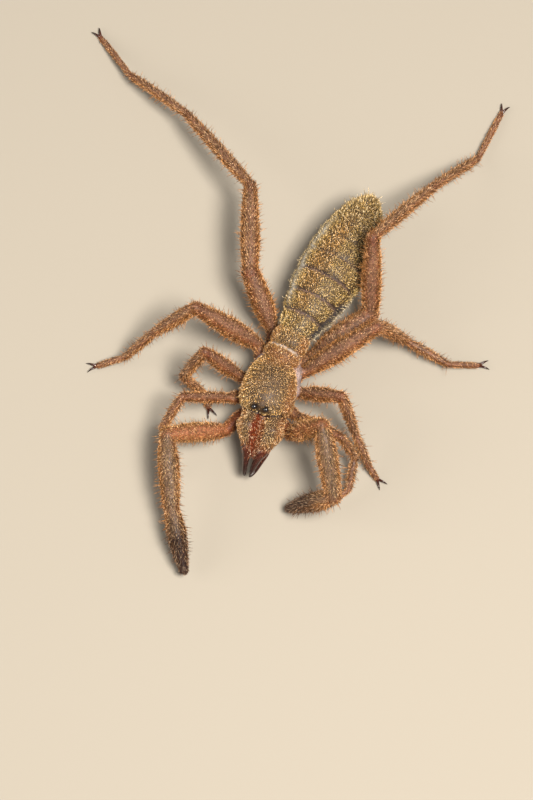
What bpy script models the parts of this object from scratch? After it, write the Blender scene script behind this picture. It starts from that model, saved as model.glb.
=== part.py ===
# A camel spider, an adult female, life size, in a walking stance with raised palps.
# Sizes are typed in millimetres and turned into metres as the shapes are made.
# The head looks along -Y. The part stands on z = 0 with its box centred on the origin.

import math

import bmesh
import bpy
from mathutils import Matrix, Vector

MM = 0.001
GAP = 0.3                   # clear gap between neighbouring pieces
EYE_GAP = 0.15              # gap round an eye in its socket
FOOT_SINK = 0.06            # how much of a foot's ball the floor flat takes off

SHIELD_FRONT = -1.0         # y of the head shield's front edge
SHIELD_REAR = 3.6
SHIELD_HALF_WIDTH = 2.3
SHIELD_FLOOR = 3.95
SHIELD_RIM = 4.3
SHIELD_TOP = 6.0
EYE_RADIUS = 0.24
EYE_PLACE = (0.47, -0.8, 5.55)
HEAD_LEAN = 0.2             # the head leans over: x gained for each mm below the eyes
LEAN_FADE = 0.7             # how much of the lean is lost by the shield's rear edge

BEND_Y = 2.8                # the body turns to the animal's left behind this y
BEND_ANGLE = math.radians(13)

TOOTH_LENGTH = 0.34
TOOTH_RADIUS = 0.17
JAW_SHIFT = 0.36            # the jaws are swung this far to the animal's left
JAW_TIP_Y = -5.3
JAW_STRAIGHT = 1.9          # length over which the shift halves towards the tips

ABDOMEN_START = 3.7         # distance behind the bend
ABDOMEN_LENGTH = 12.7
ABDOMEN_HALF_WIDTH = 2.75
ABDOMEN_HALF_HEIGHT = 2.4
ABDOMEN_MIDDLE_Z = 3.8
SEGMENT_LENGTHS = (1.5, 1.75, 1.9, 1.75, 1.6, 1.4, 1.15, 0.95, 0.9)

# Name, first and last y before the bend, half width and top height.
REAR_PLATES = (("mesopeltidium", 4.05, 4.65, 1.5, 5.5), ("metapeltidium", 4.95, 6.2, 1.55, 5.6))

COXA_RADIUS = 0.76
TROCHANTER_RADIUS = 0.5
MALLEOLUS_DROP = 1.25

SEGMENT_NAMES = {
    3: ("femur", "tibia", "metatarsus"),
    4: ("femur", "tibia", "metatarsus", "tarsus"),
    5: ("femur", "patella", "tibia", "metatarsus", "tarsus"),
}

# Coxa and trochanter of each limb: inner end, joint between them and outer end, at +X.
ROOTS = {
    "palp": ((0.65, -0.2, 2.4), (1.6, -0.6, 2.65), (2.55, -1.28, 2.5)),
    "leg1": ((0.65, 0.85, 2.3), (1.7, 0.6, 2.8), (2.6, 0.15, 3.1)),
    "leg2": ((0.65, 1.9, 2.3), (1.7, 2.0, 2.8), (2.6, 2.05, 3.1)),
    "leg3": ((0.65, 2.9, 2.3), (1.5, 3.7, 2.8), (2.2, 4.5, 3.1)),
    "leg4": ((0.65, 3.9, 2.2), (1.4, 5.2, 2.2), (1.95, 6.3, 2.4)),
}
# The right palp is swung forward at its root, beside the jaws.
RIGHT_PALP_ROOT = ((0.65, -0.2, 2.4), (1.7, -1.1, 2.3), (2.35, -2.3, 2.25))

# Segment lengths, and radii at each segment's start, middle and far joint.
LENGTHS = {
    "palp": (5.4, 5.7, 5.0),
    "leg1": (4.8, 3.2, 2.6, 1.5),
    "leg2": (4.5, 3.9, 3.1, 1.3),
    "leg3": (6.9, 4.8, 3.9, 2.6),
    "leg4": (5.3, 7.2, 9.2, 6.5, 4.6),
}
RADII = {
    "palp": ((0.6, 0.86, 0.72), (0.66, 0.92, 0.76), (0.7, 0.86, 0.5)),
    "leg1": ((0.4, 0.5, 0.4), (0.36, 0.4, 0.34), (0.31, 0.35, 0.3), (0.27, 0.29, 0.26)),
    "leg2": ((0.52, 0.68, 0.52), (0.46, 0.5, 0.4), (0.35, 0.38, 0.31), (0.28, 0.3, 0.28)),
    "leg3": ((0.62, 0.9, 0.62), (0.56, 0.6, 0.42), (0.37, 0.4, 0.31), (0.28, 0.3, 0.28)),
    "leg4": ((0.6, 0.95, 0.84), (0.74, 0.86, 0.62), (0.47, 0.55, 0.41), (0.37, 0.4, 0.32),
             (0.28, 0.3, 0.28)),
}

# Heading from +X and slope above the level, in degrees, of each segment in the stance.
# A foot on the floor has None as its last slope, which is worked out from its height.
STANCE = {
    "palp_r": ((210, 29), (290, -17), (298, -23)),
    "palp_l": ((358, 61), (296, -26), (192, -47)),
    "leg1_r": ((208, 35), (247, -41), (301, -50), (304, -28)),
    "leg1_l": ((341, 25), (345, -66), (274, -20), (232, -14)),
    "leg2_r": ((180, 53), (224, -60), (1, -60), (308, None)),
    "leg2_l": ((353, 42), (316, -58), (313, -37), (324, None)),
    "leg3_r": ((179, 42), (212, -44), (219, -50), (205, None)),
    "leg3_l": ((41, 28), (23, -62), (350, -16), (20, None)),
    "leg4_r": ((131, 38), (106, 1), (142, -16), (154, -17), (139, None)),
    "leg4_l": ((50, 10), (105, 53), (66, -30), (62, -36), (80, None)),
}

CLAW_LENGTH = 0.85
CLAW_RADIUS = 0.16
CLAW_SPREAD = math.radians(24)

COLOURS = {
    "shield": (0.42, 0.27, 0.14),
    "abdomen": (0.36, 0.26, 0.15),
    "leg": (0.45, 0.25, 0.17),
    "palp": (0.36, 0.22, 0.17),
    "palp_tip": (0.11, 0.06, 0.05),
    "chelicera": (0.5, 0.22, 0.1),
    "finger": (0.12, 0.03, 0.02),
    "eye": (0.01, 0.01, 0.01),
    "coxa": (0.5, 0.32, 0.2),
}


def clear_scene():
    for obj in list(bpy.data.objects):
        bpy.data.objects.remove(obj, do_unlink=True)


def new_collection(name):
    collection = bpy.data.collections.new(name)
    bpy.context.scene.collection.children.link(collection)
    return collection


def material(name, roughness):
    mat = bpy.data.materials.new(name)
    mat.use_nodes = True
    shader = mat.node_tree.nodes["Principled BSDF"]
    shader.inputs["Base Color"].default_value = (*COLOURS[name], 1.0)
    shader.inputs["Roughness"].default_value = roughness
    shader.inputs["Metallic"].default_value = 0.0
    mat.diffuse_color = (*COLOURS[name], 1.0)
    return mat


def rear_place(point):
    """A point of the straight body, carried round with the bend if it lies behind it."""
    x, y, z = point
    if y <= BEND_Y:
        return Vector(point)
    turned = Matrix.Rotation(-BEND_ANGLE, 3, "Z") @ Vector((x, y - BEND_Y, z))
    return turned + Vector((0.0, BEND_Y, 0.0))


def mesh_object(name, bm, mat):
    """The bmesh, in millimetres, as an object in metres."""
    bmesh.ops.scale(bm, vec=(MM, MM, MM), verts=bm.verts)
    bmesh.ops.recalc_face_normals(bm, faces=bm.faces)
    mesh = bpy.data.meshes.new(name)
    bm.to_mesh(mesh)
    bm.free()
    mesh.materials.append(mat)
    obj = bpy.data.objects.new(name, mesh)
    parts.objects.link(obj)
    obj.parent = stand_point
    return obj


def realized(obj):
    """The object with its modifiers applied, so that it can be joined or cut."""
    depsgraph = bpy.context.evaluated_depsgraph_get()
    mesh = bpy.data.meshes.new_from_object(obj.evaluated_get(depsgraph))
    obj.modifiers.clear()
    obj.data = mesh
    return obj


def turned(name, start, end, profile, sides, mat):
    """A solid turned about the line from start to end; profile holds (distance, radius)."""
    start = Vector(start)
    axis = (Vector(end) - start).normalized()
    mesh = bpy.data.meshes.new(name)
    points = [(r * MM, 0.0, t * MM) for t, r in reversed(profile)]
    edges = [(i, i + 1) for i in range(len(points) - 1)]
    mesh.from_pydata(points, edges, [])
    mesh.materials.append(mat)
    obj = bpy.data.objects.new(name, mesh)
    parts.objects.link(obj)
    obj.parent = stand_point
    obj.location = start * MM
    obj.rotation_mode = "QUATERNION"
    obj.rotation_quaternion = axis.to_track_quat("Z", "Y")
    screw = obj.modifiers.new("Turn", "SCREW")
    screw.steps = sides
    screw.render_steps = sides
    screw.use_merge_vertices = True
    screw.merge_threshold = 0.00001
    bpy.context.view_layer.update()
    return realized(obj)


def loft(name, sections, mat):
    """Closed rings of one point count, in order, with a fan at each end."""
    bm = bmesh.new()
    rings = [[bm.verts.new(p) for p in ring] for ring in sections]
    count = len(rings[0])
    for near, far in zip(rings, rings[1:]):
        for i in range(count):
            j = (i + 1) % count
            bm.faces.new((near[i], near[j], far[j], far[i]))
    bm.faces.new(rings[0])
    bm.faces.new(rings[-1])
    ends = [f for f in bm.faces if len(f.verts) > 4]
    bmesh.ops.poke(bm, faces=ends)
    bmesh.ops.triangulate(bm, faces=bm.faces)
    return mesh_object(name, bm, mat)


def oval_ring(centre, across, upward, half_width, half_height, sides):
    """A ring of points round the centre in the plane of two unit vectors."""
    ring = []
    for k in range(sides):
        angle = 2 * math.pi * k / sides
        offset = across * (half_width * math.cos(angle)) + upward * (half_height * math.sin(angle))
        ring.append(Vector(centre) + offset)
    return ring


def bent_horn(name, path, sizes, sides, mat):
    """A tapering solid along a bent path, oval across, for fingers, teeth and claws."""
    path = [Vector(p) for p in path]
    sections = []
    for i, centre in enumerate(path):
        ahead = path[min(i + 1, len(path) - 1)] - path[max(i - 1, 0)]
        across = ahead.cross(Vector((0, 0, 1))).normalized()
        upward = across.cross(ahead).normalized()
        half_width, half_height = sizes[i]
        sections.append(oval_ring(centre, across, upward, half_width, half_height, sides))
    return loft(name, sections, mat)


def largest_shell(obj):
    """Drops every closed surface of the object but the largest."""
    bm = bmesh.new()
    bm.from_mesh(obj.data)
    left = set(bm.verts)
    shells = []
    while left:
        shell = {left.pop()}
        edge = list(shell)
        while edge:
            vert = edge.pop()
            for link in vert.link_edges:
                other = link.other_vert(vert)
                if other in left:
                    left.discard(other)
                    shell.add(other)
                    edge.append(other)
        shells.append(shell)
    shells.sort(key=len)
    scraps = [v for shell in shells[:-1] for v in shell]
    bmesh.ops.delete(bm, geom=scraps, context="VERTS")
    bm.to_mesh(obj.data)
    bm.free()


def join_pieces(body, pieces):
    """Unites the pieces with the body in one Boolean, then removes them."""
    group = bpy.data.collections.new(body.name + "_pieces")
    bpy.context.scene.collection.children.link(group)
    for piece in pieces:
        parts.objects.unlink(piece)
        group.objects.link(piece)
    union = body.modifiers.new("Union", "BOOLEAN")
    union.operation = "UNION"
    union.operand_type = "COLLECTION"
    union.collection = group
    union.solver = "MANIFOLD"
    bpy.context.view_layer.update()
    realized(body)
    for piece in pieces:
        bpy.data.objects.remove(piece, do_unlink=True)
    bpy.data.collections.remove(group)
    largest_shell(body)
    return body


def cut(body, cutter):
    """Takes the cutter out of the body and puts it with the other cutters."""
    parts.objects.unlink(cutter)
    cutters.objects.link(cutter)
    cutter.hide_render = True
    cutter.display_type = "WIRE"
    difference = body.modifiers.new("Cut", "BOOLEAN")
    difference.operation = "DIFFERENCE"
    difference.object = cutter
    bpy.context.view_layer.update()
    realized(body)


def ball(name, centre, radius, sides, mat):
    bm = bmesh.new()
    bmesh.ops.create_uvsphere(bm, u_segments=sides, v_segments=sides // 2, radius=radius)
    bmesh.ops.translate(bm, vec=centre, verts=bm.verts)
    return mesh_object(name, bm, mat)


def shield_half_width(y):
    """Half the head shield's width: blunt in front, narrower behind."""
    middle = 0.6
    if y < middle:
        t = (middle - y) / (middle - SHIELD_FRONT)
        return SHIELD_HALF_WIDTH * (1 - 0.45 * t ** 3)
    t = (y - middle) / (SHIELD_REAR - middle)
    return SHIELD_HALF_WIDTH * (1 - 0.43 * t ** 2.4)


def head_place(point):
    """A point of the head shield, leant over to the left below the eyes, less so at the rear."""
    x, y, z = point
    fade = 1 - LEAN_FADE * (y - SHIELD_FRONT) / (SHIELD_REAR - SHIELD_FRONT)
    return Vector((x + HEAD_LEAN * fade * (EYE_PLACE[2] - z), y, z))


def jaw_place(point, side):
    """A point of a jaw drawn for the left side, put on its side and swung with the pair."""
    x, y, z = point
    share = min(1.0, 0.5 + 0.5 * (y - JAW_TIP_Y) / JAW_STRAIGHT)
    return (side * x + JAW_SHIFT * share, y, z)


def dome_ring(y, half_width, floor, rim, top, place):
    """One section of a dome: a flat floor, upright rims and an arched top."""
    ring = [(half_width * 0.92, y, floor)]
    arch = 10
    for k in range(arch + 1):
        angle = math.pi * k / arch
        ring.append((half_width * math.cos(angle), y, rim + (top - rim) * math.sin(angle) ** 0.85))
    ring.append((-half_width * 0.92, y, floor))
    ring.append((0.0, y, floor))
    return [place(p) for p in ring]


def head_shield():
    count = 8
    sections = []
    for k in range(count + 1):
        y = SHIELD_FRONT + (SHIELD_REAR - SHIELD_FRONT) * k / count
        t = 2 * k / count - 1
        top = SHIELD_TOP - 0.75 * abs(t) ** 3
        sections.append(dome_ring(y, shield_half_width(y), SHIELD_FLOOR, SHIELD_RIM, top,
                                  head_place))
    shield = loft("head_shield", sections, mats["shield"])
    mound = bent_horn("eye_mound", ((0, -0.95, 5.3), (0, -0.6, 5.45), (0, 0.1, 5.5)),
                      ((0.4, 0.2), (0.6, 0.42), (0.3, 0.3)), 10, mats["shield"])
    join_pieces(shield, [mound])
    for side in (-1, 1):
        x, y, z = EYE_PLACE
        cut(shield, ball("eye_socket", (side * x, y, z), EYE_RADIUS + EYE_GAP, 10, mats["shield"]))
    largest_shell(shield)


def eyes():
    for side, label in ((-1, "r"), (1, "l")):
        x, y, z = EYE_PLACE
        ball("eye_" + label, (side * x, y, z), EYE_RADIUS, 12, mats["eye"])


def rear_plates():
    """The two free plates between the head shield and the abdomen."""
    for name, start, end, half_width, top in REAR_PLATES:
        sections = []
        for k in range(3):
            y = start + (end - start) * k / 2
            bulge = 1.0 if k == 1 else 0.93
            sections.append(dome_ring(y, half_width * bulge, SHIELD_FLOOR, SHIELD_RIM,
                                      top - (0.0 if k == 1 else 0.12), rear_place))
        loft(name, sections, mats["shield"])


def abdomen_size(t):
    """Half width and half height of the abdomen at a share t of its length."""
    width = 0.53 + 0.47 * math.sin(math.pi / 2 * min(1.0, t / 0.5)) ** 0.9
    tail = max(0.0, (t - 0.45) / 0.55)
    width *= math.sqrt(1 - tail ** 2.3)
    return ABDOMEN_HALF_WIDTH * width, ABDOMEN_HALF_HEIGHT * (0.1 + 0.9 * width)


def abdomen():
    total = sum(SEGMENT_LENGTHS)
    along = Matrix.Rotation(-BEND_ANGLE, 3, "Z") @ Vector((0, 1, 0))
    across = Vector((along.y, -along.x, 0))
    start = Vector((0, BEND_Y, ABDOMEN_MIDDLE_Z)) + along * ABDOMEN_START
    done = 0.0
    for number, length in enumerate(SEGMENT_LENGTHS, 1):
        sections = []
        first = done / total * ABDOMEN_LENGTH
        last = (done + length) / total * ABDOMEN_LENGTH - GAP
        tail = number == len(SEGMENT_LENGTHS)
        if tail:
            last += 0.98 * GAP
        steps = 5 if tail else 2
        for k in range(steps + 1):
            share = math.sin(math.pi / 2 * k / steps) if tail else k / steps
            distance = first + (last - first) * share
            half_width, half_height = abdomen_size(distance / ABDOMEN_LENGTH)
            rise = 0.8 * (1 - half_height / ABDOMEN_HALF_HEIGHT)
            centre = start + along * distance + Vector((0, 0, rise))
            sections.append(oval_ring(centre, across, Vector((0, 0, 1)), half_width, half_height, 16))
        loft("abdomen_%d" % number, sections, mats["abdomen"])
        done += length


def chelicera(side, label):
    """The stout base with the fixed upper finger and its teeth, and the hinged lower finger."""
    path = ((1.05, -1.3, 4.1), (1.13, -1.75, 4.05), (1.0, -2.4, 3.85), (0.81, -3.0, 3.6),
            (0.62, -3.55, 3.35), (0.47, -4.05, 3.05), (0.36, -4.55, 2.65), (0.29, -5.0, 2.25),
            (0.24, -5.3, 1.95))
    sizes = ((0.84, 1.0), (0.98, 1.3), (0.85, 1.2), (0.66, 0.93),
             (0.47, 0.64), (0.33, 0.42), (0.25, 0.3), (0.17, 0.19), (0.07, 0.07))
    path = [jaw_place(p, side) for p in path]
    base = bent_horn("chelicera_" + label, path, sizes, 14, mats["chelicera"])
    teeth = []
    for k in range(4):
        share = k / 3
        x, y, z = Vector(path[4]).lerp(Vector(path[7]), share)
        drop = 0.44 - 0.26 * share
        teeth.append(tooth((x, y, z - drop + 0.12), -1))
    join_pieces(base, teeth)

    path = ((0.76, -2.75, 2.2), (0.7, -3.2, 2.1), (0.56, -3.9, 1.8), (0.4, -4.6, 1.5),
            (0.27, -5.05, 1.5), (0.2, -5.25, 1.62))
    sizes = ((0.3, 0.26), (0.36, 0.34), (0.28, 0.27), (0.22, 0.2), (0.15, 0.14), (0.06, 0.06))
    path = [jaw_place(p, side) for p in path]
    finger = bent_horn("finger_" + label, path, sizes, 10, mats["finger"])
    teeth = []
    for k in range(2):
        x, y, z = Vector(path[2]).lerp(Vector(path[3]), k)
        teeth.append(tooth((x, y, z + 0.12), 1))
    join_pieces(finger, teeth)


def tooth(root, way):
    """A small cone rooted in a finger, pointing up or down."""
    x, y, z = root
    path = ((x, y, z), (x, y - 0.02, z + way * TOOTH_LENGTH * 0.5), (x, y, z + way * TOOTH_LENGTH))
    radii = (TOOTH_RADIUS, TOOTH_RADIUS * 0.7, 0.03)
    sections = []
    for centre, radius in zip(path, radii):
        ring = oval_ring(centre, Vector((1, 0, 0)), Vector((0, 1, 0)), radius, radius, 6)
        sections.append(ring)
    return loft("tooth", sections, mats["finger"])


def malleolus(root, lean, name):
    """A stalk that widens into a fan, one of the racket organs under a leg of the last pair."""
    sections = []
    for share, half_width, half_depth in ((0.0, 0.13, 0.13), (0.45, 0.12, 0.1),
                                          (0.7, 0.3, 0.12), (1.0, 0.42, 0.1)):
        centre = Vector(root) + Vector((lean[0], lean[1], -1)) * (MALLEOLUS_DROP * share)
        ring = oval_ring(centre, Vector((1, 0, 0)), Vector((0, 1, 0)), half_width, half_depth, 8)
        sections.append(ring)
    return loft(name, sections, mats["coxa"])


def limb_root(limb, side):
    points = RIGHT_PALP_ROOT if limb == "palp" and side < 0 else ROOTS[limb]
    return [rear_place((side * x, y, z)) for x, y, z in points]


def coxae(side, label):
    """The coxae and trochanters of one side, joined, with the malleoli of the last leg."""
    pieces = []
    for limb in ROOTS:
        inner, middle, outer = limb_root(limb, side)
        for start, end, radius in ((inner, middle, COXA_RADIUS), (middle, outer, TROCHANTER_RADIUS)):
            length = (end - start).length
            profile = ((-0.55 * radius, 0.0), (-0.4 * radius, 0.5 * radius), (0.0, 0.9 * radius),
                       (0.5 * length, radius), (length, 0.95 * radius),
                       (length + 0.55 * radius, 0.7 * radius), (length + 0.85 * radius, 0.0))
            pieces.append(turned("coxa", start, end, profile, 10, mats["coxa"]))
    inner, middle, outer = limb_root("leg4", side)
    for k in range(5):
        place = inner.lerp(outer, 0.15 + 0.17 * k)
        place.z -= 0.35
        pieces.append(malleolus(place, (side * 0.12 * (k - 1), 0.05 * k), "malleolus"))
    body = pieces.pop(0)
    body.name = "coxae_" + label
    body.data.name = body.name
    join_pieces(body, pieces)


def segment_profile(length, start, radii):
    """Radii along one segment, which ends in a ball about its far joint."""
    near, middle, ball_radius = radii
    swell = start + (length - start) * 0.4
    profile = [(start, 0.0), (start, near), (swell, middle),
               (start + (length - start) * 0.75, 0.5 * (middle + ball_radius)), (length, ball_radius)]
    for degrees in (35, 65):
        angle = math.radians(degrees)
        profile.append((length + ball_radius * math.sin(angle), ball_radius * math.cos(angle)))
    profile.append((length + ball_radius, 0.0))
    return profile


def joint_clearance(before, after, ball_radius, near_radius):
    """How far past a joint the next segment starts, so that it clears the one before."""
    inside = math.pi - before.angle(after)
    clear = ball_radius + GAP
    if inside < math.pi / 2:
        clear = (clear + near_radius * math.cos(inside)) / math.sin(inside)
    return clear


def limb(name, label):
    """The straight segments of one limb, from its trochanter to its tip."""
    side = -1 if label == "r" else 1
    stance = STANCE[name + "_" + label]
    lengths = LENGTHS[name]
    joint = limb_root(name, side)[2]
    before = joint - limb_root(name, side)[1]
    ball_radius = TROCHANTER_RADIUS * 0.85
    kind = "palp" if name == "palp" else "leg"
    for i, (heading, slope) in enumerate(stance):
        radii = RADII[name][i]
        if slope is None:
            slope = math.degrees(math.asin((radii[2] - FOOT_SINK - joint.z) / lengths[i]))
        level = Vector((math.cos(math.radians(heading)), math.sin(math.radians(heading)), 0))
        after = level * math.cos(math.radians(slope)) + Vector((0, 0, math.sin(math.radians(slope))))
        start = joint_clearance(before, after, ball_radius, radii[0])
        end = joint + after * lengths[i]
        node = "%s_%s_%s" % (name, label, SEGMENT_NAMES[len(stance)][i])
        mat = mats["palp_tip"] if kind == "palp" and i == 2 else mats[kind]
        sides = 12 if radii[1] > 0.5 else 10
        segment = turned(node, joint, end, segment_profile(lengths[i], start, radii), sides, mat)
        if i == len(stance) - 1 and name in ("leg2", "leg3", "leg4"):
            add_claws(segment, end, level, radii[2])
            floor_flat(segment)
        joint, before, ball_radius = end, after, radii[2]


def add_claws(segment, tip, level, ball_radius):
    """Two claws at the end of a foot, rising from it and bending down to the floor."""
    claws = []
    for turn in (-CLAW_SPREAD, CLAW_SPREAD):
        way = Matrix.Rotation(turn, 3, "Z") @ level
        path = []
        for share, rise in ((0.0, 0.0), (0.35, 0.12), (0.7, 0.14), (1.0, 0.0)):
            reach = ball_radius * 0.3 + CLAW_LENGTH * share
            path.append(tip + way * reach + Vector((0, 0, rise * CLAW_LENGTH)))
        taper = (1.0, 0.8, 0.55, 0.2)
        sizes = [(CLAW_RADIUS * w, CLAW_RADIUS * w) for w in taper]
        claws.append(bent_horn("claw", path, sizes, 6, mats["finger"]))
    join_pieces(segment, claws)


def floor_flat(body):
    """Cuts the small flat on which a foot rests."""
    matrix = body.matrix_world.copy()
    bm = bmesh.new()
    bm.from_mesh(body.data)
    bmesh.ops.transform(bm, matrix=matrix, verts=bm.verts)
    result = bmesh.ops.bisect_plane(bm, geom=bm.verts[:] + bm.edges[:] + bm.faces[:], dist=1e-7,
                                    plane_co=(0, 0, 0), plane_no=(0, 0, -1), clear_outer=True)
    loop = [e for e in result["geom_cut"] if isinstance(e, bmesh.types.BMEdge)]
    bmesh.ops.holes_fill(bm, edges=loop, sides=0)
    bmesh.ops.triangulate(bm, faces=[f for f in bm.faces if len(f.verts) > 3])
    bmesh.ops.transform(bm, matrix=matrix.inverted(), verts=bm.verts)
    bm.to_mesh(body.data)
    bm.free()


def centre_over_origin():
    """Moves the stand point so that the whole part's box is centred over the origin."""
    bpy.context.view_layer.update()
    corners = [obj.matrix_world @ v.co for obj in parts.objects if obj.type == "MESH"
               for v in obj.data.vertices]
    xs = [c.x for c in corners]
    ys = [c.y for c in corners]
    stand_point.location = (-(min(xs) + max(xs)) / 2, -(min(ys) + max(ys)) / 2, 0)
    bpy.context.view_layer.update()


clear_scene()
parts = new_collection("camel_spider")
cutters = new_collection("cutters")
mats = {name: material(name, 0.25 if name in ("eye", "finger") else 0.6) for name in COLOURS}
stand_point = bpy.data.objects.new("stand_point", None)
parts.objects.link(stand_point)

head_shield()
eyes()
rear_plates()
abdomen()
for side, label in ((-1, "r"), (1, "l")):
    chelicera(side, label)
    coxae(side, label)
    for limb_name in ROOTS:
        limb(limb_name, label)
centre_over_origin()
for part in parts.objects:
    if part.type == "MESH":
        part.data.shade_smooth()
        part.data.set_sharp_from_angle(angle=math.radians(50))
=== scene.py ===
# %% [markdown]
# # A camel spider, life size
# This script dresses the solids of a small museum model. The solids give the size and the
# stance. Here they get one skin without seams, a coat of short bristles, horn fingers, claws
# and eyes.

import math

import bmesh
import bpy
import numpy as np
from mathutils import Matrix, Vector
from mathutils.kdtree import KDTree


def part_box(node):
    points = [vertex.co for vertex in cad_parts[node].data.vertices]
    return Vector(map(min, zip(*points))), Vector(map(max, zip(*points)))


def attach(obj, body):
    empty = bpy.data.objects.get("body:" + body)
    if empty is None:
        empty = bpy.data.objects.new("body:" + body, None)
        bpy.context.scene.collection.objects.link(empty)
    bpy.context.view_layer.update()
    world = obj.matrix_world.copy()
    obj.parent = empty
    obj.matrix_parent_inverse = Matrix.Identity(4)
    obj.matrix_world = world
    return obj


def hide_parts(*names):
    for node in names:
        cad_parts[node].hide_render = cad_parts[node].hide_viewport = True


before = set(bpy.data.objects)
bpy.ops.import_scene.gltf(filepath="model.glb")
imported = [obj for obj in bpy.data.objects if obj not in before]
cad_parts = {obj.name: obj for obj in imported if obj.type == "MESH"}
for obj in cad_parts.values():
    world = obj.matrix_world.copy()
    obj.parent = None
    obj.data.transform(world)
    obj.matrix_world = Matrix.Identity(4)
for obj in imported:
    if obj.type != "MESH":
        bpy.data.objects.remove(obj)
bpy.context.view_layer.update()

# %% [markdown]
# ## Working in millimetres
# An animal this small is easier to think of in millimetres. The shapes below are typed in
# the same millimetre plan that the solids were built from. The eyes are on that plan too, so
# the middle of the two eye nodes tells how far the plan was shifted when the box of the
# whole part was centred on the origin.

# %% From the plan to the frame
MM = 0.001
EYES_ON_PLAN = Vector((0.0, -0.8, 5.55))


def node_middle(node):
    low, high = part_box(node)
    return (low + high) / 2


eyes_middle = (node_middle("eye_l") + node_middle("eye_r")) / 2
SHIFT = eyes_middle - EYES_ON_PLAN * MM
TO_FRAME = Matrix.Translation(SHIFT) @ Matrix.Scale(MM, 4)
print("the plan is shifted by", [round(v * 1000, 3) for v in SHIFT], "mm")

# %% [markdown]
# ## The camera
# The picture looks steeply down on the animal from in front of its head and a little to its
# left. The camera is set by one known point: the middle of the eyes has to fall on a given
# pixel, and one pixel has to cover a given width at that depth. A long lens far away keeps
# the legs from spreading towards the edges, as a macro lens does.

# %% Camera at the photograph's angle
WIDTH, HEIGHT = 533, 800
HEADING, DIP = math.radians(16), math.radians(72)
DISTANCE = 0.30
PIXEL = 0.0777 * MM
EYES_PIXEL = (260, 408)
CLIP_START = 0.01


def new_object(name, data):
    """An object with this data, linked to the scene."""
    obj = bpy.data.objects.new(name, data)
    bpy.context.scene.collection.objects.link(obj)
    return obj


level = Vector((-math.sin(HEADING), math.cos(HEADING), 0))
forward = level * math.cos(DIP) - Vector((0, 0, 1)) * math.sin(DIP)
right = Vector((math.cos(HEADING), math.sin(HEADING), 0))
up = right.cross(forward)
camera = new_object("camera", bpy.data.cameras.new("camera"))
place = eyes_middle - forward * DISTANCE
place -= right * ((EYES_PIXEL[0] - WIDTH / 2) * PIXEL)
place += up * ((EYES_PIXEL[1] - HEIGHT / 2) * PIXEL)
turn = Matrix((right, up, -forward)).transposed().to_4x4()
camera.matrix_world = Matrix.Translation(place) @ turn
camera.data.lens = camera.data.sensor_width * DISTANCE / (HEIGHT * PIXEL)
camera.data.clip_start = CLIP_START
bpy.context.scene.camera = camera
print("lens", round(camera.data.lens, 1), "mm")

# %% [markdown]
# ## Floor and light
# The model stands on a plain pale floor. One broad soft lamp from above gives the form, a
# weaker one from the other side opens the shadows, and a pale world fills the rest. The
# lamps are wider than the animal, so the shadows stay soft and the bristles still catch
# small lights.

# %% Floor, lamps and world
FLOOR_SIZE = 1.2
FLOOR_COLOUR, FLOOR_ROUGHNESS = (0.30, 0.265, 0.215, 1), 0.85
WARM_WHITE = (1.0, 0.97, 0.92)
WORLD_STRENGTH = 0.28


def new_material(name):
    """A new material, with its tree and its shader."""
    mat = bpy.data.materials.new(name)
    mat.use_nodes = True
    return mat, mat.node_tree, mat.node_tree.nodes["Principled BSDF"]


def feed(tree, socket, value):
    """Gives an input its value, or links it to the output that makes the value."""
    if isinstance(value, bpy.types.NodeSocket):
        tree.links.new(value, socket)
    else:
        socket.default_value = value


def set_inputs(tree, node, **values):
    """Feeds the node's inputs by name, with _ for each space of a name."""
    for key, value in values.items():
        feed(tree, node.inputs[key.replace("_", " ")], value)


def lamp(name, position, size, power, colour):
    light = new_object(name, bpy.data.lights.new(name, "AREA"))
    light.data.size = size
    light.data.energy = power
    light.data.color = colour
    light.location = position
    light.rotation_euler = (-Vector(position)).to_track_quat("-Z", "Y").to_euler()


half = FLOOR_SIZE / 2
floor_mesh = bpy.data.meshes.new("floor")
floor_mesh.from_pydata([(-half, -half, 0), (half, -half, 0), (half, half, 0), (-half, half, 0)],
                       [], [(0, 1, 2, 3)])
floor_material, tree, shader = new_material("pale floor")
set_inputs(tree, shader, Base_Color=FLOOR_COLOUR, Roughness=FLOOR_ROUGHNESS)
floor_mesh.materials.append(floor_material)
floor = new_object("floor", floor_mesh)

lamp("main lamp", (0.10, -0.06, 0.30), 0.10, 2.3, (1.0, 0.96, 0.90))
lamp("side lamp", (-0.22, -0.12, 0.16), 0.20, 0.4, WARM_WHITE)
world = bpy.data.worlds.new("studio")
world.use_nodes = True
set_inputs(world.node_tree, world.node_tree.nodes["Background"],
           Color=(*WARM_WHITE, 1), Strength=WORLD_STRENGTH)
bpy.context.scene.world = world
bpy.context.scene.view_settings.view_transform = "Standard"
print("floor", FLOOR_SIZE, "m wide, two lamps")

# %% [markdown]
# ## The limbs' plan
# Each limb is a chain of straight segments between joints. The plan lists where a limb
# leaves the body, how long its segments are, and which way each one points: a heading
# round the compass from the animal's left, and a slope above the level. From those numbers
# the joints follow one by one, as in the solids. The trunk bends a little to the left
# behind the head, and what is rooted there is carried round with it.

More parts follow.
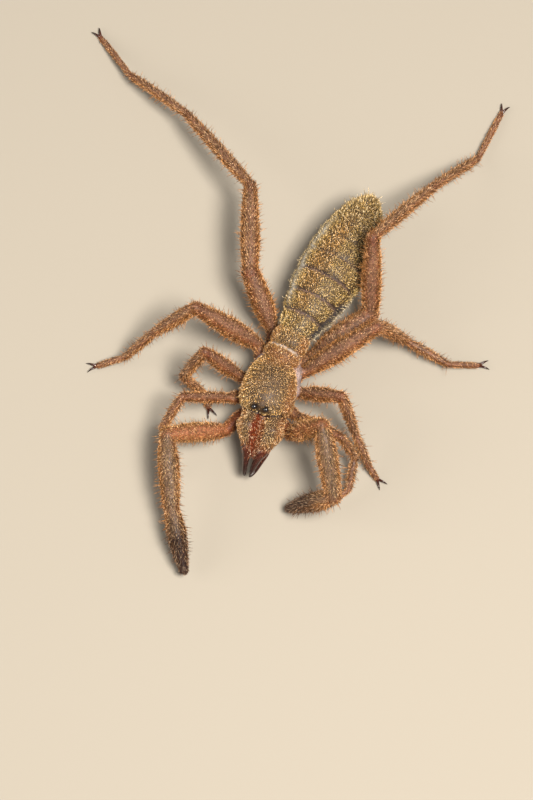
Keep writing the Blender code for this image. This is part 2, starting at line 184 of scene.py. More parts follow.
# %% Where the joints are
BEND_Y = 2.8
BEND_ANGLE = math.radians(13)
FOOT_SINK = 0.06
ROOTS = {
    "palp": ((0.65, -0.2, 2.4), (1.6, -0.6, 2.65), (2.55, -1.28, 2.5)),
    "leg1": ((0.65, 0.85, 2.3), (1.7, 0.6, 2.8), (2.6, 0.15, 3.1)),
    "leg2": ((0.65, 1.9, 2.3), (1.7, 2.0, 2.8), (2.6, 2.05, 3.1)),
    "leg3": ((0.65, 2.9, 2.3), (1.5, 3.7, 2.8), (2.2, 4.5, 3.1)),
    "leg4": ((0.65, 3.9, 2.2), (1.4, 5.2, 2.2), (1.95, 6.3, 2.4)),
}
RIGHT_PALP_ROOT = ((0.65, -0.2, 2.4), (1.7, -1.1, 2.3), (2.35, -2.3, 2.25))
LENGTHS = {
    "palp": (5.4, 5.7, 5.0),
    "leg1": (4.8, 3.2, 2.6, 1.5),
    "leg2": (4.5, 3.9, 3.1, 1.3),
    "leg3": (6.9, 4.8, 3.9, 2.6),
    "leg4": (5.3, 7.2, 9.2, 6.5, 4.6),
}
RADII = {
    "palp": ((0.6, 0.86, 0.72), (0.66, 0.92, 0.76), (0.7, 0.86, 0.5)),
    "leg1": ((0.4, 0.5, 0.4), (0.36, 0.4, 0.34), (0.31, 0.35, 0.3), (0.27, 0.29, 0.26)),
    "leg2": ((0.52, 0.68, 0.52), (0.46, 0.5, 0.4), (0.35, 0.38, 0.31), (0.28, 0.3, 0.28)),
    "leg3": ((0.62, 0.9, 0.62), (0.56, 0.6, 0.42), (0.37, 0.4, 0.31), (0.28, 0.3, 0.28)),
    "leg4": ((0.6, 0.95, 0.84), (0.74, 0.86, 0.62), (0.47, 0.55, 0.41), (0.37, 0.4, 0.32),
             (0.28, 0.3, 0.28)),
}
STANCE = {
    "palp_r": ((210, 29), (290, -17), (298, -23)),
    "palp_l": ((358, 61), (296, -26), (192, -47)),
    "leg1_r": ((208, 35), (247, -41), (301, -50), (304, -28)),
    "leg1_l": ((341, 25), (345, -66), (274, -20), (232, -14)),
    "leg2_r": ((180, 53), (224, -60), (1, -60), (308, None)),
    "leg2_l": ((353, 42), (316, -58), (313, -37), (324, None)),
    "leg3_r": ((179, 42), (212, -44), (219, -50), (205, None)),
    "leg3_l": ((41, 28), (23, -62), (350, -16), (20, None)),
    "leg4_r": ((131, 38), (106, 1), (142, -16), (154, -17), (139, None)),
    "leg4_l": ((50, 10), (105, 53), (66, -30), (62, -36), (80, None)),
}
SEGMENTS = {
    3: ("femur", "tibia", "metatarsus"),
    4: ("femur", "tibia", "metatarsus", "tarsus"),
    5: ("femur", "patella", "tibia", "metatarsus", "tarsus"),
}


def rear_place(point):
    """A point of the straight trunk, carried round with the bend if it lies behind it."""
    x, y, z = point
    if y <= BEND_Y:
        return Vector(point)
    return Matrix.Rotation(-BEND_ANGLE, 3, "Z") @ Vector((x, y - BEND_Y, z)) + Vector((0, BEND_Y, 0))


def limb_joints(name):
    """The limb's root, middle and outer root joints, then the far joint of each segment."""
    limb, label = name.split("_")
    side = -1 if label == "r" else 1
    points = RIGHT_PALP_ROOT if name == "palp_r" else ROOTS[limb]
    joints = [rear_place((side * x, y, z)) for x, y, z in points]
    for i, (heading, slope) in enumerate(STANCE[name]):
        length = LENGTHS[limb][i]
        if slope is None:
            foot = RADII[limb][i][2] - FOOT_SINK
            slope = math.degrees(math.asin((foot - joints[-1].z) / length))
        flat = math.cos(math.radians(slope)) * length
        joints.append(joints[-1] + Vector((math.cos(math.radians(heading)) * flat,
                                           math.sin(math.radians(heading)) * flat,
                                           math.sin(math.radians(slope)) * length)))
    return joints


JOINTS = {name: limb_joints(name) for name in STANCE}
worst = 0.0
for name, joints in JOINTS.items():
    for segment, joint in zip(SEGMENTS[len(STANCE[name])], joints[3:]):
        low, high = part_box(name + "_" + segment)
        point = TO_FRAME @ joint
        worst = max([worst] + [max(a - p, p - b) for a, p, b in zip(low, point, high)])
print(len(JOINTS), "limbs; a joint lies outside its solid by at most", round(worst * 1000, 3), "mm")

# %% [markdown]
# ## Rings make the shapes
# The real cuticle is a row of stiff tubes joined by soft skin. Each stretch of the body is
# drawn here as a closed tube of rings, with its own middle line, half width, and heights
# above and below. Ring tubes are quick to shape from a few rows of numbers. Every point
# also remembers which stretch it belongs to, because the markings and the lie of the
# bristles are worked out from that later.

# %% Tubes of rings
shape_points, shape_faces, shape_parts = [], [], []
PARTS = {}


def smooth_rows(rows, count):
    """The rows drawn as one smooth curve with count points; every column is treated alike."""
    rows = np.array(rows, float)
    steps = np.linspace(0, len(rows) - 1, count)
    index = np.minimum(steps.astype(int), len(rows) - 2)
    t = (steps - index)[:, None]
    slopes = np.gradient(rows, axis=0)
    a, b, da, db = rows[index], rows[index + 1], slopes[index], slopes[index + 1]
    return (a * (1 + 2 * t) * (1 - t) ** 2 + da * t * (1 - t) ** 2
            + b * t * t * (3 - 2 * t) + db * t * t * (t - 1))


def unit(v):
    return v / np.linalg.norm(v)


def with_round_ends(rows, bulge):
    """Adds shrinking rings before the first row and after the last, as a ball ends a rod."""
    angles = np.radians((25, 50, 70, 83))
    ends = []
    for end, inner in ((rows[0], rows[1]), (rows[-1], rows[-2])):
        outward = unit(end[:3] - inner[:3])
        size = bulge * min(end[3], (end[4] + end[5]) / 2)
        caps = np.repeat(end[None], len(angles), 0)
        caps[:, :3] += outward * size * np.sin(angles)[:, None]
        caps[:, 3:] *= np.cos(angles)[:, None]
        ends.append(caps)
    return np.vstack((ends[0][::-1], rows, ends[1]))


def ring_faces(start, rings, sides):
    """The faces of a closed tube whose points follow one another from this number on."""
    faces = []
    for r in range(start, start + (rings - 1) * sides, sides):
        faces += [(r + k, r + (k + 1) % sides, r + sides + (k + 1) % sides, r + sides + k)
                  for k in range(sides)]
    faces.append(tuple(start + k for k in reversed(range(sides))))
    faces.append(tuple(start + (rings - 1) * sides + k for k in range(sides)))
    return faces


def tube(part, group, rows, across, sides=28, bulge=0.9):
    """A closed tube. A row is x, y, z, half width, height above and depth below its middle."""
    rows = np.array(rows, float)
    axis = unit(rows[-1, :3] - rows[0, :3])
    across = unit(np.array(across, float) - axis * np.dot(across, axis))
    upward = np.cross(across, axis)
    if part not in PARTS:
        PARTS[part] = dict(index=len(PARTS), group=group, origin=rows[0, :3], axis=axis, across=across,
                           upward=upward, length=float(np.linalg.norm(rows[-1, :3] - rows[0, :3])))
    rows = with_round_ends(rows, bulge)
    angle = np.linspace(0, 2 * math.pi, sides, endpoint=False)
    cos, sin = np.cos(angle), np.sin(angle)
    height = np.where(sin[None] > 0, rows[:, 4:5], rows[:, 5:6]) * sin[None]
    ring = rows[:, None, :3] + (rows[:, 3:4] * cos[None])[..., None] * across
    ring = ring + height[..., None] * upward
    shape_faces.extend(ring_faces(sum(len(p) for p in shape_points), len(rows), sides))
    shape_points.append(ring.reshape(-1, 3))
    shape_parts.append(np.full(ring.shape[0] * sides, PARTS[part]["index"]))


print("tubes are drawn as rings with rounded ends")

# %% [markdown]
# ## The trunk
# A camel spider's head carries a domed shield with the two eyes on a low mound at its front
# edge. Behind it come two small free plates and the long soft abdomen with ten rings, the
# last of them small. Under the plates a soft core joins everything. The skin is drawn
# inside the solids by the depth of the coat, so that the tips of the bristles reach the
# solids' outline.

# %% Shield, plates, abdomen and core
COAT = 0.16
HEAD_LEAN, LEAN_FADE = 0.2, 0.7
ABDOMEN_START, ABDOMEN_LENGTH = 3.7, 12.7
ABDOMEN_HALF_WIDTH, ABDOMEN_HALF_HEIGHT, ABDOMEN_MIDDLE_Z = 2.75, 2.4, 3.8
SEGMENT_LENGTHS = (1.5, 1.75, 1.9, 1.75, 1.6, 1.4, 1.15, 0.95, 0.9)
seams = np.cumsum(SEGMENT_LENGTHS)[:-1] / sum(SEGMENT_LENGTHS) * ABDOMEN_LENGTH - 0.15
seams = np.append(seams, ABDOMEN_LENGTH - 0.55)
trunk_axis = Matrix.Rotation(-BEND_ANGLE, 3, "Z") @ Vector((0, 1, 0))
trunk_across = Vector((trunk_axis.y, -trunk_axis.x, 0))


def shield_half_width(y):
    t = (0.6 - y) / 1.6 if y < 0.6 else (y - 0.6) / 3.0
    return 2.3 * (1 - 0.45 * t ** 3) if y < 0.6 else 2.3 * (1 - 0.38 * t ** 2.4)


def lean_head():
    """Leans the last tube over to the animal's left below the eyes, as the head is held."""
    points = shape_points[-1]
    fade = 1 - LEAN_FADE * np.clip((points[:, 1] + 1.0) / 4.6, 0, 1)
    points[:, 0] += HEAD_LEAN * fade * (EYES_ON_PLAN.z - points[:, 2])


rows = []
for y in np.linspace(-0.82, 3.6, 24):
    top = 6.0 - 0.75 * abs(2 * (y + 1) / 4.6 - 1) ** 3
    rows.append((0, y, 4.25, shield_half_width(y) - COAT, top - COAT - 4.25, 0.5))
tube("shield", "head", rows, (1, 0, 0), sides=44, bulge=0.25)
lean_head()
tube("mound", "head", smooth_rows([(0, -0.78, 5.2, 0.34, 0.25, 0.3), (0, -0.5, 5.3, 0.5, 0.42, 0.4),
                                   (0, 0.1, 5.3, 0.3, 0.4, 0.4)], 10), (1, 0, 0), sides=20, bulge=0.6)
for part, start, end, half_width, top in (("plate1", 3.75, 4.72, 1.5, 5.5), ("plate2", 4.9, 6.25, 1.55, 5.6)):
    rows = []
    for share in np.linspace(0, 1, 8):
        crown = math.sin(math.pi * share) ** 0.6
        centre = rear_place((0, start + (end - start) * share, 4.25))
        rows.append((*centre, half_width * (0.86 + 0.1 * crown), top - COAT - 4.55 + 0.3 * crown, 0.4))
    tube(part, "head", rows, trunk_across, sides=36, bulge=0.15)


def abdomen_size(t):
    """Half width and half height of the abdomen at a share t of its length."""
    width = 0.53 + 0.47 * math.sin(math.pi / 2 * min(1.0, t / 0.5)) ** 0.9
    width *= math.sqrt(1 - max(0.0, (t - 0.45) / 0.55) ** 2.3)
    return ABDOMEN_HALF_WIDTH * width, ABDOMEN_HALF_HEIGHT * (0.1 + 0.9 * width)


rows = []
abdomen_origin = Vector((0, BEND_Y, ABDOMEN_MIDDLE_Z)) + trunk_axis * ABDOMEN_START
for distance in np.linspace(0.1, ABDOMEN_LENGTH - 0.25, 110):
    half_width, half_height = abdomen_size(distance / ABDOMEN_LENGTH)
    rise = 0.8 * (1 - half_height / ABDOMEN_HALF_HEIGHT)
    centre = abdomen_origin + trunk_axis * distance + Vector((0, 0, rise))
    to_seam = np.min(np.abs(seams - distance))
    swell = 1 - 0.035 * math.exp(-(to_seam / 0.22) ** 2)
    inset = min(COAT, 0.35 * half_width)
    rows.append((*centre, (half_width - inset) * swell, (half_height - inset) * swell,
                 (half_height - inset) * swell))
tube("abdomen", "abdomen", rows, trunk_across, sides=64, bulge=0.5)

CORE = ((0.3, -1.1, 3.7, 1.2, 0.7, 0.7), (0.3, 0.0, 3.6, 1.7, 0.8, 0.95),
        (0.25, 2.0, 3.5, 2.15, 0.85, 1.0), (0.15, 3.4, 3.5, 2.0, 0.95, 1.0),
        (0, 4.6, 3.6, 1.4, 1.25, 1.0), (0, 5.8, 3.8, 1.3, 1.3, 1.1), (0, 7.4, 3.9, 1.3, 1.3, 1.2))
rows = [(*rear_place(row[:3]), *row[3:]) for row in smooth_rows(CORE, 40)]
tube("core", "head", rows, (1, 0, 0), sides=36, bulge=0.6)
print(len(PARTS), "stretches of trunk")

# %% [markdown]
# ## The jaws' bases
# Each of the two jaws is a stout bulb that narrows into a fixed upper finger of horn, with a
# hinged lower finger under it. The bulb is soft-looking and bristly, and belongs to the
# skin. The fingers are bare and hard, and stay pieces of their own.

# %% Bulbs of the jaws
JAW = ((1.05, -1.3, 4.1, 0.84, 1.0), (1.13, -1.75, 4.05, 0.98, 1.3), (1.0, -2.4, 3.85, 0.85, 1.2),
       (0.81, -3.0, 3.6, 0.66, 0.93), (0.62, -3.55, 3.35, 0.47, 0.64), (0.47, -4.05, 3.05, 0.33, 0.42),
       (0.36, -4.55, 2.65, 0.25, 0.3), (0.29, -5.0, 2.25, 0.17, 0.19), (0.24, -5.3, 1.95, 0.07, 0.07))
LOWER_FINGER = ((0.76, -2.75, 2.2, 0.3, 0.26), (0.7, -3.2, 2.1, 0.36, 0.34), (0.56, -3.9, 1.8, 0.28, 0.27),
                (0.4, -4.6, 1.5, 0.22, 0.2), (0.27, -5.05, 1.5, 0.15, 0.14), (0.2, -5.25, 1.62, 0.06, 0.06))
JAW_SHIFT, JAW_TIP_Y, JAW_STRAIGHT = 0.36, -5.3, 1.9


def jaw_side(rows, side):
    """Rows drawn for the left jaw, put on their side and swung with the pair to the left."""
    moved = []
    for x, y, *rest in rows:
        share = min(1.0, 0.5 + 0.5 * (y - JAW_TIP_Y) / JAW_STRAIGHT)
        moved.append((side * x + JAW_SHIFT * share, y, *rest))
    return moved


for side, label in ((-1, "r"), (1, "l")):
    bulb = [(0.93, -0.6, 3.95, 0.86, 0.75, 0.8)]
    bulb += [(x - 0.17, y, z, w - 0.06, h - 0.13, h - 0.1) for x, y, z, w, h in JAW[:6]]
    rows = smooth_rows(jaw_side(bulb, side), 34)
    rows[-8:, 3:] *= np.linspace(1, 0.68, 8)[:, None]
    tube("jaw_" + label, "head", rows, (1, 0, 0), sides=32, bulge=0.3)
print("bulbs of the jaws drawn")

# %% [markdown]
# ## The limbs
# A segment is slender where it leaves the joint before it, swells towards its middle and
# ends in a rounded knob. Drawn as overlapping tubes with round ends, neighbouring segments
# meet in a crease at the joint, as the real ones do, whatever angle they stand at.

# %% Coxae, trochanters and segments
COXA_RADIUS, TROCHANTER_RADIUS = 0.76, 0.6


def coat_depth(radius):
    return min(COAT, 0.22 * radius)


def segment_rows(start, end, near, middle, far, bow):
    """Rows of one segment, with its radii at the start, the middle and the far joint."""
    near, middle, far = (r - coat_depth(r) for r in (near, middle, far))
    plan = np.array(((0, 0.84 * near), (0.06, 0.96 * near), (0.2, 0.45 * near + 0.55 * middle), (0.4, middle),
                     (0.7, 0.55 * middle + 0.45 * far), (0.92, far), (1.0, 0.9 * far)))
    shares = np.linspace(0, 1, max(12, int((end - start).length / 0.16)))
    radii = np.interp(shares, plan[:, 0], plan[:, 1])
    radii = np.convolve(np.pad(radii, 2, "edge"), np.full(5, 0.2), "valid")
    rows = []
    for share, radius in zip(shares, radii):
        point = start.lerp(end, share) + Vector((0, 0, bow * math.sin(math.pi * share)))
        rows.append((*point, radius, radius, radius))
    return rows


for name, joints in JOINTS.items():
    limb, label = name.split("_")
    for part, i, radius in (("coxa", 0, COXA_RADIUS), ("trochanter", 1, TROCHANTER_RADIUS)):
        direction = joints[i + 1] - joints[i]
        rows = segment_rows(joints[i], joints[i + 1], radius, radius, 0.92 * radius, 0)
        tube(name + "_" + part, name, rows, direction.cross(Vector((0, 0, 1))), sides=24)
    for i, segment in enumerate(SEGMENTS[len(STANCE[name])]):
        start, end = joints[i + 2], joints[i + 3]
        across = (end - start).cross(Vector((0, 0, 1)))
        rows = segment_rows(start, end, *RADII[limb][i], 0.012 * (end - start).length)
        tube(name + "_" + segment, name, rows, across, sides=24 if RADII[limb][i][1] > 0.5 else 18)
print(len(PARTS), "stretches,", sum(len(p) for p in shape_points), "points before fusing")

# %% [markdown]
# ## One skin
# The tubes overlap, and a real skin has no hidden walls and no seams. A voxel remesh melts
# the closed tubes into one surface. The voxel has to be finer than the thinnest foot, and a
# light smoothing takes off the steps. It is done in millimetres, because the remesh is not
# made for sizes of a tenth of a millimetre in metres.

# %% Fuse the tubes
VOXEL = 0.114


def evaluated_mesh(obj):
    """The object with its modifiers, as a plain mesh."""
    bpy.context.view_layer.update()
    return bpy.data.meshes.new_from_object(obj.evaluated_get(bpy.context.evaluated_depsgraph_get()))


raw = bpy.data.meshes.new("tubes")
raw.from_pydata(np.vstack(shape_points).tolist(), [], shape_faces)
fuser = new_object("fuser", raw)
remesh = fuser.modifiers.new("Fuse", "REMESH")
remesh.mode = "VOXEL"
remesh.voxel_size = VOXEL
ease = fuser.modifiers.new("Ease", "SMOOTH")
ease.factor = 0.5
ease.iterations = 3
skin_mesh = evaluated_mesh(fuser)
bpy.data.objects.remove(fuser, do_unlink=True)
count = len(skin_mesh.vertices)
print(count, "points and", len(skin_mesh.polygons), "faces in the skin")

# %% [markdown]
# ## What each point of the skin knows
# After fusing, each point looks up the nearest point of the drawn tubes to learn which
# stretch it is on. From the stretch's own axis follow how far along it lies, in
# millimetres and as a share, and how far round. These numbers drive the folds, the
# markings, the lie of the bristles and the flat map, so all four agree.

# %% Stretch, share along and turn round


def read(items, key, width=1, kind=float):
    """One property of all the items, as a row or as a table of this width."""
    values = np.empty(len(items) * width, kind)
    items.foreach_get(key, values)
    return values.reshape(-1, width) if width > 1 else values


part_names = list(PARTS)
all_points = np.vstack(shape_points)
all_parts = np.concatenate(shape_parts)
finder = KDTree(len(all_points))
for i, point in enumerate(all_points):
    finder.insert(point, i)
finder.balance()
co = read(skin_mesh.vertices, "co", 3)
normal = read(skin_mesh.vertices, "normal", 3)
part_of = np.array([all_parts[finder.find(point)[1]] for point in co])


def part_table(key):
    return np.array([PARTS[name][key] for name in part_names])


relative = co - part_table("origin")[part_of]
along = np.einsum("ij,ij->i", relative, part_table("axis")[part_of])
sideways = np.einsum("ij,ij->i", relative, part_table("across")[part_of])
upwards = np.einsum("ij,ij->i", relative, part_table("upward")[part_of])
share = np.clip(along / part_table("length")[part_of], 0, 1)
turn_round = (np.arctan2(upwards, sideways) / (2 * math.pi)) % 1.0
print("stretches found:", len(np.unique(part_of)))

# %% [markdown]
# ## Folds between the rings
# Each ring of the abdomen ends in an edge under which the next one begins. That is a
# narrow groove across the back that fades out on the soft flanks. A long shallow groove
# parts the back plates from the flank. The grooves are pressed into the fused skin,
# because the remesh would have melted them.

# %% Press the grooves in
edges = read(skin_mesh.edges, "vertices", 2, int)


def spread(values, rounds):
    """Averages the values with their neighbours' along the edges."""
    links = np.bincount(edges.ravel(), minlength=count)[:, None] + 1
    for _ in range(rounds):
        total = values.copy()
        for column in range(values.shape[1]):
            total[:, column] += np.bincount(edges[:, 0], values[edges[:, 1], column], count)
            total[:, column] += np.bincount(edges[:, 1], values[edges[:, 0], column], count)
        values = total / links
    return values


def is_part(*names):
    return np.isin(part_of, [PARTS[name]["index"] for name in names])


def bell(distance, width):
    return np.exp(-(distance / width) ** 2)


def ramp(value, low, high):
    t = np.clip((value - low) / (high - low), 0, 1)
    return t * t * (3 - 2 * t)


abdomen = is_part("abdomen")
seam_offset = along[:, None] + 0.1 - seams[None]
nearest_seam = np.argmin(np.abs(seam_offset), axis=1)
to_seam = seam_offset[np.arange(count), nearest_seam]
on_back = np.clip((upwards + 0.4) / 1.2, 0, 1) * abdomen
flank_line = bell(upwards - 0.75, 0.16) * abdomen * (np.abs(sideways) > 1.0)
seam_strength = abdomen * (1 - 0.75 * ramp(along, 4.5, 8.0))
depth = 0.11 * bell(to_seam, 0.09) * (0.35 + 0.65 * on_back) * seam_strength + 0.05 * flank_line
shield_share = spread((is_part("shield", "mound") * 1.0)[:, None], 3)[:, 0]
crease = 4 * shield_share * (1 - shield_share) * (co[:, 1] < 0.2) * (co[:, 2] > 4.2)
crease *= is_part("jaw_l", "jaw_r", "shield", "mound")
depth += 0.13 * crease
co -= normal * depth[:, None]
skin_mesh.vertices.foreach_set("co", co.ravel())
skin_mesh.update()
normal = read(skin_mesh.vertices, "normal", 3)
print("grooves up to", round(float(depth.max()), 3), "mm deep at", len(seams), "seams")

# %% [markdown]
# ## The markings
# One set of masks colours both the skin and the bristles, so they carry the same marks: a
# sandy grey-brown shield with an orange edge, jaws that turn red towards the fingers, a
# golden-brown abdomen with dark seams, a pale flank and a grey one, orange-brown legs with a
# painted highlight along the top, a paler mauve-grey streak, and palps that darken to
# black-brown at the tip. Each marking names its mask, then the colour of the skin and of the
# bristles with the share that is mixed in, and the share of the bristles that it takes away.

# %% Masks and colours
skin_tint = np.tile(np.array((0.14, 0.045, 0.018)), (count, 1))
coat_tint = np.tile(np.array((0.78, 0.32, 0.08)), (count, 1))
cover = np.ones(count)
hair_length = np.ones(count)
stand = np.ones(count)
gloss = np.full(count, 0.5)


def mark(mask, skin=None, coat=None, bare=0.0):
    """Mixes the two colours in where the mask is, and thins the bristles."""
    for target, paint in ((skin_tint, skin), (coat_tint, coat)):
        if paint:
            target += (np.array(paint[:3]) - target) * (paint[3] * mask)[:, None]
    cover[:] *= 1 - bare * mask


segment_of = np.array([name.split("_")[-1] for name in part_names])[part_of]
group_of = np.array([PARTS[name]["group"] for name in part_names])[part_of]
limb_point = ~np.isin(group_of, ("head", "abdomen"))
palp_point = np.char.startswith(group_of.astype(str), "palp")
coxal = np.isin(segment_of, ("coxa", "trochanter"))
top = ramp(normal[:, 2], 0.35, 0.95)
# Painted highlight: a paler, mauve-grey streak along the top of each limb, where the bristles are a little
# thinner.
highlight_streak = ramp(np.sin(2 * math.pi * turn_round), 0.78, 0.97) * limb_point * ~coxal
mark(top * limb_point, (0.135, 0.060, 0.032, 0.85), (0.77, 0.38, 0.13, 0.6))
mark(highlight_streak, (0.15, 0.075, 0.048, 0.7), (0.60, 0.36, 0.20, 0.55), 0.15)
mark(ramp(-normal[:, 2], 0.2, 0.8) * limb_point, (0.20, 0.05, 0.018, 0.7))
mark(limb_point * bell(share - 1.0, 0.10) * ~coxal, (0.11, 0.028, 0.014, 0.5), (0.36, 0.10, 0.03, 0.45))

palp_shaft = palp_point & np.isin(segment_of, ("tibia", "metatarsus"))
palp_base = palp_point * (segment_of == "femur")
palp_tip = palp_point * (segment_of == "metatarsus") * ramp(share, 0.05, 0.55)
mark(top * palp_shaft, (0.105, 0.062, 0.038, 0.8), (0.60, 0.38, 0.17, 0.7))
mark(palp_base, (0.28, 0.095, 0.038, 0.6), (0.92, 0.45, 0.14, 0.6))
mark(palp_base * ramp(-share, -0.35, -0.1), None, (0.80, 0.27, 0.06, 0.6))
mark(palp_tip, (0.022, 0.010, 0.008, 1), (0.17, 0.070, 0.034, 0.85))

shield = is_part("shield", "mound")
plates = is_part("plate1", "plate2")
edge = ramp(np.abs(sideways), 1.35, 2.15) * shield
rear_edge = np.maximum(plates * ramp(np.abs(sideways), 0.7, 1.3), 0.7 * is_part("plate1"))
rear_edge = np.maximum(rear_edge, 0.6 * shield * ramp(co[:, 1], 2.6, 3.4))
mark(shield | plates, (0.062, 0.036, 0.019, 1), (0.88, 0.50, 0.15, 1))
mark(edge + rear_edge, (0.17, 0.062, 0.022, 0.8), (0.64, 0.29, 0.085, 0.8))
# Painted shade: the shield's underside, under its overhang, is painted near black and left bare.
mark(shield * ramp(-upwards, 0.05, 0.3), (0.03, 0.012, 0.008, 1), None, 0.9)

jaws = is_part("jaw_l", "jaw_r")
left_jaw = is_part("jaw_l")
inward = np.where(left_jaw, -normal[:, 0], normal[:, 0])
inner_face = jaws * ramp(inward - np.where(left_jaw, 0.42, 0.0), 0.08, 0.5)
jaw_tip = jaws * ramp(-co[:, 1] + 0.5 * inner_face, 2.8, 3.8)
red_part = np.maximum(inner_face, jaw_tip)
mark(jaws, (0.062, 0.034, 0.018, 1), (0.80, 0.48, 0.18, 1))
mark(jaws * ramp(-inward, 0.35, 0.85), (0.19, 0.065, 0.022, 0.7), (0.62, 0.26, 0.075, 0.7))
mark(np.maximum(inner_face, 0.9 * jaw_tip), (0.10, 0.018, 0.008, 1))
mark(inner_face, None, (0.52, 0.135, 0.032, 1), 0.4)
mark(jaw_tip, None, (0.38, 0.085, 0.025, 0.85))
gloss -= 0.32 * red_part
hair_length *= 1 + 0.5 * red_part

core = is_part("core")
# Painted shade: the crease between the shield and the jaws is painted near black and left bare.
mark(ramp(crease, 0.25, 0.75), (0.010, 0.005, 0.004, 0.97), None, 0.97)
mark(core, (0.22, 0.16, 0.145, 1))
mark(core * ramp(-co[:, 1], -0.3, 0.4), (0.10, 0.030, 0.012, 1))
cover[core] = 0.06
cover[is_part("mound")] = 0.45
for label in ("l", "r"):
    eye = np.array((node_middle("eye_" + label) - SHIFT) / MM)
    mark(bell(np.linalg.norm(co - eye, axis=1), 0.36), (0.012, 0.007, 0.005, 0.9), None, 0.9)
pale_line = is_part("plate1") * bell(along - 0.95, 0.10) * ramp(normal[:, 2], 0.3, 0.7)
mark(pale_line, (0.42, 0.36, 0.31, 1), None, 0.95)

right_side = sideways < 0
flank_drop = np.where(right_side, 0.0, 1.5 * ramp(along, 3.0, 6.0))
flank_top = np.where(right_side, 1.2, 0.75) - flank_drop
flank = abdomen * ramp(-upwards, -flank_top, 0.5 - flank_top)
pale_flank = flank * right_side * ramp(along, 0.8, 2.6) * (1 - 0.8 * ramp(along, 8.5, 10.5))
mark(abdomen, (0.050, 0.029, 0.013, 1), (0.85, 0.55, 0.165, 1))
mark(abdomen * bell(upwards - 1.65, 0.4) * right_side, None, (0.76, 0.36, 0.09, 0.7))
mark(flank * (sideways > 0), (0.042, 0.040, 0.043, 0.9), (0.30, 0.25, 0.19, 0.8), 0.6)
mark(pale_flank, (0.44, 0.40, 0.33, 0.85), (0.82, 0.64, 0.36, 0.7), 0.5)
mark(abdomen * ramp(-upwards, 0.9, 1.6), (0.26, 0.19, 0.12, 0.8))
mark(abdomen * ramp(along, 8.0, 11.0), None, (0.52, 0.32, 0.095, 0.8))
seam_dark = bell(to_seam, 0.075) * seam_strength * (1 - 0.6 * flank)
# Painted highlight: a thin pale mauve band, without bristles, on the upper side of each ring's edge just
# before its seam.
seam_edge_highlight = ramp(-to_seam, 0.03, 0.07) * ramp(to_seam, -0.18, -0.13) * seam_strength
seam_edge_highlight = seam_edge_highlight * ramp(upwards, 0.2, 0.9)
seam_bare = np.maximum(bell(to_seam, 0.10) * seam_strength, seam_edge_highlight) * ramp(upwards, -0.2, 0.8)
line_bare = bell(upwards - 0.55, 0.22) * abdomen * (np.abs(sideways) > 1.2) * (along < 9.0)
mark(seam_edge_highlight, (0.20, 0.13, 0.11, 0.9))
mark(seam_dark, (0.010, 0.004, 0.004, 0.97))
mark(seam_bare, bare=0.98)
mark(line_bare, bare=0.75)
hair_length *= 1 - 0.6 * seam_strength * ramp(to_seam, -0.5, -0.25) * ramp(-to_seam, -0.05, 0.0)
hair_length *= 1 + abdomen * (0.5 * flank + 0.9 * ramp(along, 9.5, 12.5))
stand *= 1 + abdomen * (0.8 * flank + 1.0 * ramp(along, 9.0, 12.5))

foot = (segment_of == "tarsus") | (palp_point & (segment_of == "metatarsus") & (share > 0.9))
mark(coxal * palp_point, (0.15, 0.032, 0.010, 0.7), (0.66, 0.22, 0.05, 0.7))
cover[coxal] *= 0.6
cover[(co[:, 2] < 0.22) & (normal[:, 2] < -0.2)] = 0
hair_length[foot] *= 0.65
long_cover = limb_point * 1.0
long_cover[coxal | foot | (cover == 0)] = 0
long_cover += abdomen * np.maximum(0.25 * flank, ramp(along, 9.5, 12.0))
long_cover += red_part + 0.5 * edge * (co[:, 1] > -0.6)
print("colours for skin and coat at", count, "points")

# %% [markdown]
# ## The lie of the coat
# Bristles on a limb lean towards its tip, on the abdomen towards its end, and on the shield
# and jaws forwards. The lie is the stretch's axis laid flat on the surface. It is smoothed
# over the neighbouring points a few times, so that the bristles turn gradually at a joint.

# %% Lay and smooth the lie
lie = part_table("axis")[part_of].copy()
lie[shield | core] *= -1
lie = spread(lie, 6)
lie -= normal * np.einsum("ij,ij->i", lie, normal)[:, None]
lie /= np.maximum(np.linalg.norm(lie, axis=1), 1e-6)[:, None]
skin_tint = np.clip(spread(skin_tint, 1), 0.005, 1)
coat_tint = np.clip(spread(coat_tint, 2), 0.005, 1)
print("lie of the coat smoothed over", len(edges), "edges")

# %% [markdown]
# ## A flat map of the skin
# Each body region is unrolled like a label from a bottle: the distance along runs one way
# and the turn round the other. The bristles later get their place on this map from their
# root. A face that crosses the line where the label was cut takes all its corners from one
# side of the cut.

# %% Unroll the stretches
MAP_EDGE = 0.04
MAP_WIDTH = 1 - 2 * MAP_EDGE
COAT_GROUPS = sorted({PARTS[name]["group"] for name in part_names})
sheet = np.zeros((len(part_names), 4))
for group in COAT_GROUPS:
    members = [name for name in part_names if PARTS[name]["group"] == group]
    total = sum(PARTS[name]["length"] for name in members)
    done = 0.0
    for i, name in enumerate(members):
        width = MAP_WIDTH * PARTS[name]["length"] / total
        place_on_map = (MAP_EDGE + done, width, MAP_EDGE, MAP_WIDTH)
        if group == "head":
            place_on_map = (MAP_EDGE, MAP_WIDTH, MAP_EDGE + MAP_WIDTH * i / len(members), 0.85 / len(members))
        sheet[PARTS[name]["index"]] = place_on_map
        done += width
corner_vert = read(skin_mesh.loops, "vertex_index", 1, int)
face_start = read(skin_mesh.polygons, "loop_start", 1, int)
face_size = read(skin_mesh.polygons, "loop_total", 1, int)
lead = np.repeat(corner_vert[face_start], face_size)
source = np.where(part_of[corner_vert] == part_of[lead], corner_vert, lead)
turn_here = turn_round[source]
turn_here -= np.round(turn_here - turn_round[lead])
first_u, span_u, first_v, span_v = sheet[part_of[source]].T
flat_map = np.stack((first_u + span_u * share[source], first_v + span_v * turn_here), axis=1)
skin_mesh.uv_layers.new(name="skin_map").data.foreach_set("uv", flat_map.ravel())
